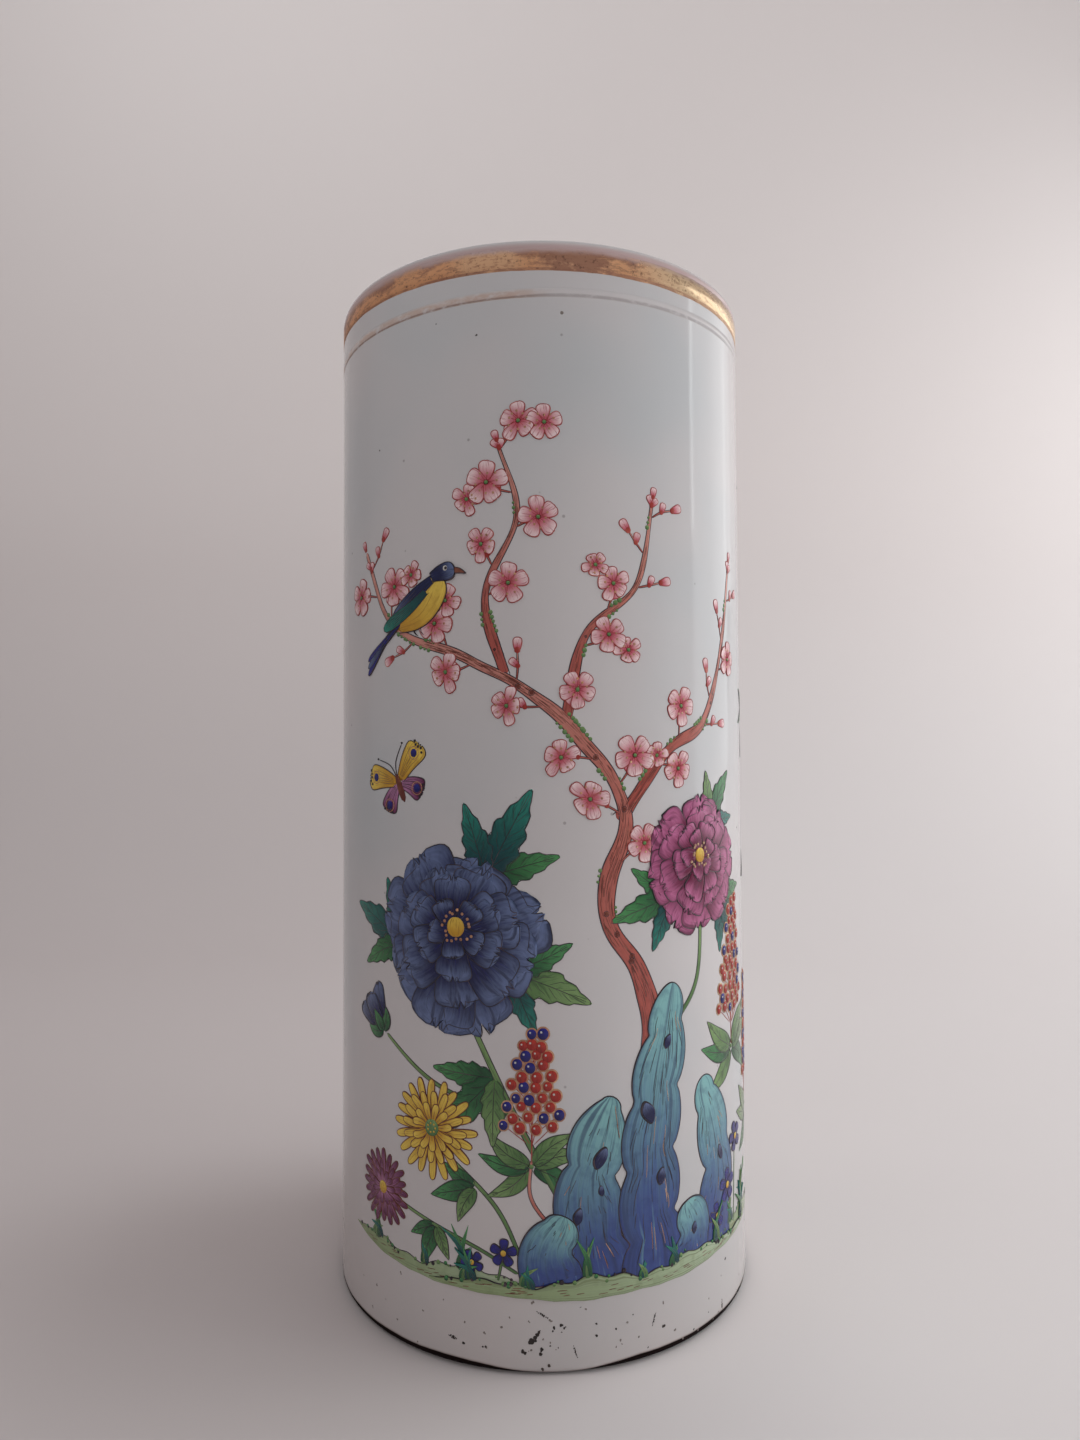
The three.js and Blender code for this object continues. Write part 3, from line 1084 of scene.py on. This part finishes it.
def paint_back():
    """The same garden carried on round the right side to the back."""
    bamboo([(94, 22), (97, 96), (91, 172), (98, 236)],
           ((0.3, 17, (200, 235, -30)), (0.48, 17, (-20, -60, 215)), (0.66, 17, (195, 240, 160)),
            (0.82, 16, (-25, -65, 30)), (1, 15, (205, 250, -40, 100))))
    bamboo([(112, 22), (109, 90), (116, 158)],
           ((0.5, 17, (-15, -55, 220)), (0.8, 16, (200, 240)), (1, 16, (-30, -70, 210, 80))))
    bank([(84, 21), (128, 22), (178, 25)])
    boulder([(104, 22), (110, 40), (104, 60)], 8.5, 0.12, ((0.4, 0.2, 2), (0.7, -0.2, 1.5)))
    boulder([(121, 20), (125, 32), (119, 44)], 7.5, 0.17)
    bank([(90, 20), (116, 19.2), (144, 20.4)], 0.32)
    stem([(112, 48), (128, 74), (132, 102)], 0.8)
    leaf_spray((122, 103), 160, 20, (teal, green, teal))
    leaf_spray((142, 101), -30, 20, (green, teal, green))
    leaf_spray((134, 121), 70, 20, (teal, moss, green))
    peony(magenta, aubergine, (132, 108), 19)
    stem([(128, 38), (146, 52), (158, 60)], 0.6)
    leaf_spray((144, 52), 120, 13, (green, moss, green), 0)
    chrysanthemum(yellow, (160, 64), 11)
    nandina((82, 48), 40, -2, 7)
    bank([(-150, 24.5), (-124, 21.5), (-98, 24)])
    stem([(-119, 23), (-122, 44), (-130, 64)], 0.6)
    stem([(-122, 38), (-114, 46), (-108, 54)], 0.4)
    leaf_spray((-122, 45), 148, 15, (green, moss, teal), 0)
    leaf_spray((-120, 34), 24, 13, (teal, green, moss), 0)
    chrysanthemum(aubergine, (-131, 69), 11.5, heart=yellow)
    chrysanthemum(yellow, (-106, 58), 8.5)
    for x, y in ((-134, 34), (-140, 28), (-112, 30)):
        stem([(x + 1, 22), (x, y)], 0.3)
        small_flower(navy, (x, y), 3.6)
    butterfly((-122, 190), 12, -15)
    butterfly((150, 172), 11, 30)


def iron_specks():
    """Dark specks and dashes fired into the glaze, thickest low on the front, and a few anywhere."""
    dice = random.Random(3)

    def crumb(fill, x, y, size):
        for _ in range(dice.choice((2, 3))):
            spot = (x + dice.gauss(0, 0.45) * size, y + dice.gauss(0, 0.45) * size)
            fill.disc(spot, size * dice.uniform(0.5, 0.9), 0.02, 0.04, dice.uniform(0.8, 1.4))

    def dash(start, end, size):
        for i in range(7):
            share = i / 6
            spot = (start[0] + (end[0] - start[0]) * share, start[1] + (end[1] - start[1]) * share)
            crumb(iron, *spot, size * (0.5 + 0.5 * sin(pi * share)))

    for x, y in [(dice.uniform(-188, 188), 2 + 24 * dice.random() ** 1.8) for _ in range(70)]:
        crumb(dice.choice((iron, smoke, smoke)), x, y, dice.uniform(0.14, 0.34))
    for x, y in [(dice.gauss(4, 14), 3 + abs(dice.gauss(0, 7))) for _ in range(16)]:
        crumb(dice.choice((iron, smoke)), x, y, dice.uniform(0.14, 0.32))
    for x, y in [(dice.uniform(-188, 188), dice.uniform(30, 262)) for _ in range(14)] + [(-27.5, 260.8)]:
        crumb(iron, x, y, dice.uniform(0.16, 0.34))
    dark = ((-3.3, 8.3, 0.85), (-2.6, 8.9, 0.6), (-5.3, 6, 0.5), (-4.9, 5.4, 0.4), (-0.9, 6.4, 0.45),
            (-1.1, 5.2, 0.4), (1.3, 2.4, 0.45), (-0.6, 1.7, 0.5), (2.3, 11.6, 0.45), (2.1, 10.7, 0.3),
            (4.2, 12, 0.4), (5, 11.4, 0.3), (12.7, 8.8, 0.4), (17.7, 9.7, 0.3), (-14.8, 5.8, 0.4),
            (-20.4, 6.2, 0.45), (11.3, 18.2, 0.3), (31.5, 7, 0.45), (56.5, 14.8, 0.4))
    faint = ((-10.5, 11.3, 0.35), (-20, 11, 0.4), (-3.7, 13, 0.3), (-2.8, 17.6, 0.35), (10.1, 15.4, 0.35),
             (24.1, 6.5, 0.35), (-0.2, 8.7, 0.3), (31, 13, 0.3), (1.6, 13.2, 0.35), (5.6, 261, 0.55))
    for fill, spots in ((iron, dark), (smoke, faint)):
        for spot in spots:
            crumb(fill, *spot)
    dash((-2.4, 9), (-1.2, 10.8), 0.42)
    dash((-1.8, 15.4), (0.7, 13.9), 0.3)
    dash((-24.3, 7.1), (-22.2, 6.7), 0.3)
    dash((7, 6.9), (7.9, 4.2), 0.26)
    dash((28.8, 11), (27.8, 8.2), 0.26)
    dash((54.4, 5), (54.5, 2.6), 0.3)


def lamp(name, place, aim, size, watts, in_gloss=True, spread=180):
    data = bpy.data.lights.new(name, "AREA")
    data.shape = "RECTANGLE"
    data.size, data.size_y = size
    data.energy = watts
    data.color = (0.94, 0.99, 1.0)
    data.spread = radians(spread)
    made = add_object(name, data)
    made.location = place
    made.rotation_euler = (Vector(place) - Vector(aim)).to_track_quat("Z", "Y").to_euler()
    made.visible_camera = False
    made.visible_glossy = in_gloss


def studio():
    """A pale floor that sweeps up to a backdrop, painted lighter to the right and upwards as painted light,
    a window at the right and a world brightest in front.
    """
    pale = material("studio_pale_painted_light")
    place = pale.place()
    # Painted light: the sweep's colour is lighter towards the right, for the window, and upwards, for light
    # from above.
    colour = pale.layers(srgb(212, 203, 202), (place.axis("X").ramp(-0.03, 0.1), srgb(229, 222, 221)),
                         (place.axis("Z").ramp(0.0, 0.5), srgb(236, 227, 225)))
    pale.set(Base_Color=colour, Roughness=0.9, Specular_IOR_Level=0.1)
    half, front, back, rise = 2.2, -2.0, 0.75, 2.4
    bend, steps = 0.35, 16
    curve = [pi / 2 * i / steps for i in range(steps + 1)]
    section = [(front, 0.0)] + [(back - bend + bend * sin(a), bend - bend * cos(a)) for a in curve]
    section.append((back, rise))
    verts = [(x, y, z) for y, z in section for x in (-half, half)]
    faces = [(2 * i, 2 * i + 1, 2 * i + 3, 2 * i + 2) for i in range(len(section) - 1)]
    add_mesh("studio_sweep", verts, faces, [pale.owner])
    lamp("window", (1.03, 0.36, 0.45), (0, 0, 0.45), (0.72, 0.9), 1.9)
    lamp("window_sheer", (0.91, 0.52, 0.6), (0, 0, 0.6), (0.36, 0.6), 0.15)
    lamp("window_gap", (0.8, 0.68, 0.62), (0, 0, 0.62), (0.17, 0.55), 0.15)
    lamp("window_edge", (1.0, 0.01, 0.6), (0, 0, 0.6), (0.03, 0.35), 0.1)
    lamp("window_fill", (0.9, 0.4, 0.5), (0, 0, 0.2), (0.7, 0.7), 0.5, False)
    lamp("side_fill", (0.8, -0.1, 0.2), (0, 0, 0.13), (0.5, 0.3), 0.58, False, 80)
    lamp("front_fill", (0.1, -0.8, 0.3), (0, 0, 0.15), (0.5, 0.3), 0.7, False)
    lamp("left_fill", (-0.22, -0.16, 0.42), (0, 0, 0.28), (0.2, 0.2), 0.15, False)
    lamp("ceiling", (0.5, 0.1, 1.8), (0, 0, 0), (0.4, 0.4), 3.8, False)
    lamp("floor_fill", (0.45, -0.25, 0.6), (0.25, -0.15, 0), (0.3, 0.3), 0.5, False)
    lamp("backdrop_left", (-0.4, 0.1, 1.1), (-0.4, 0.75, 0.95), (0.5, 0.5), 1.5, False)
    lamp("backdrop_right", (0.75, 0.25, 0.5), (0.35, 0.75, 0.35), (0.4, 0.4), 1.0, False)
    world = Shader(bpy.data.worlds.new("studio_world"), "Background")
    inputs = {0: world.node("ShaderNodeTexCoord", "Generated", {}), 1: (0, -1, 0)}
    toward = world.node("ShaderNodeVectorMath", "Value", inputs, operation="DOT_PRODUCT")
    bpy.context.scene.world = world.set(Color=srgb(236, 231, 232), Strength=toward * 0.03 + 0.34)
    bpy.context.scene.view_settings.view_transform = "Standard"


make_camera()
glaze = glaze_material()
bare = bare_material()
vase_body(glaze, bare)
vase_floor(glaze, bare)
gilt_ring("gilt_rim_band", "gilt_band", band_low.z - 0.0005, band_high.z - 0.0003, gilt, (0.0002, 0.0003),
          BAND_TILT)
gilt_ring("gilt_line", "gilt_fine_line", line_low.z - 0.0002, line_high.z + 0.0009, fine_line_material(),
          (0.00015, 0.0002), LINE_TILT)
paint_front()
paint_back()
iron_specks()
for enamel in Enamel.palette:
    enamel.finish()
studio()
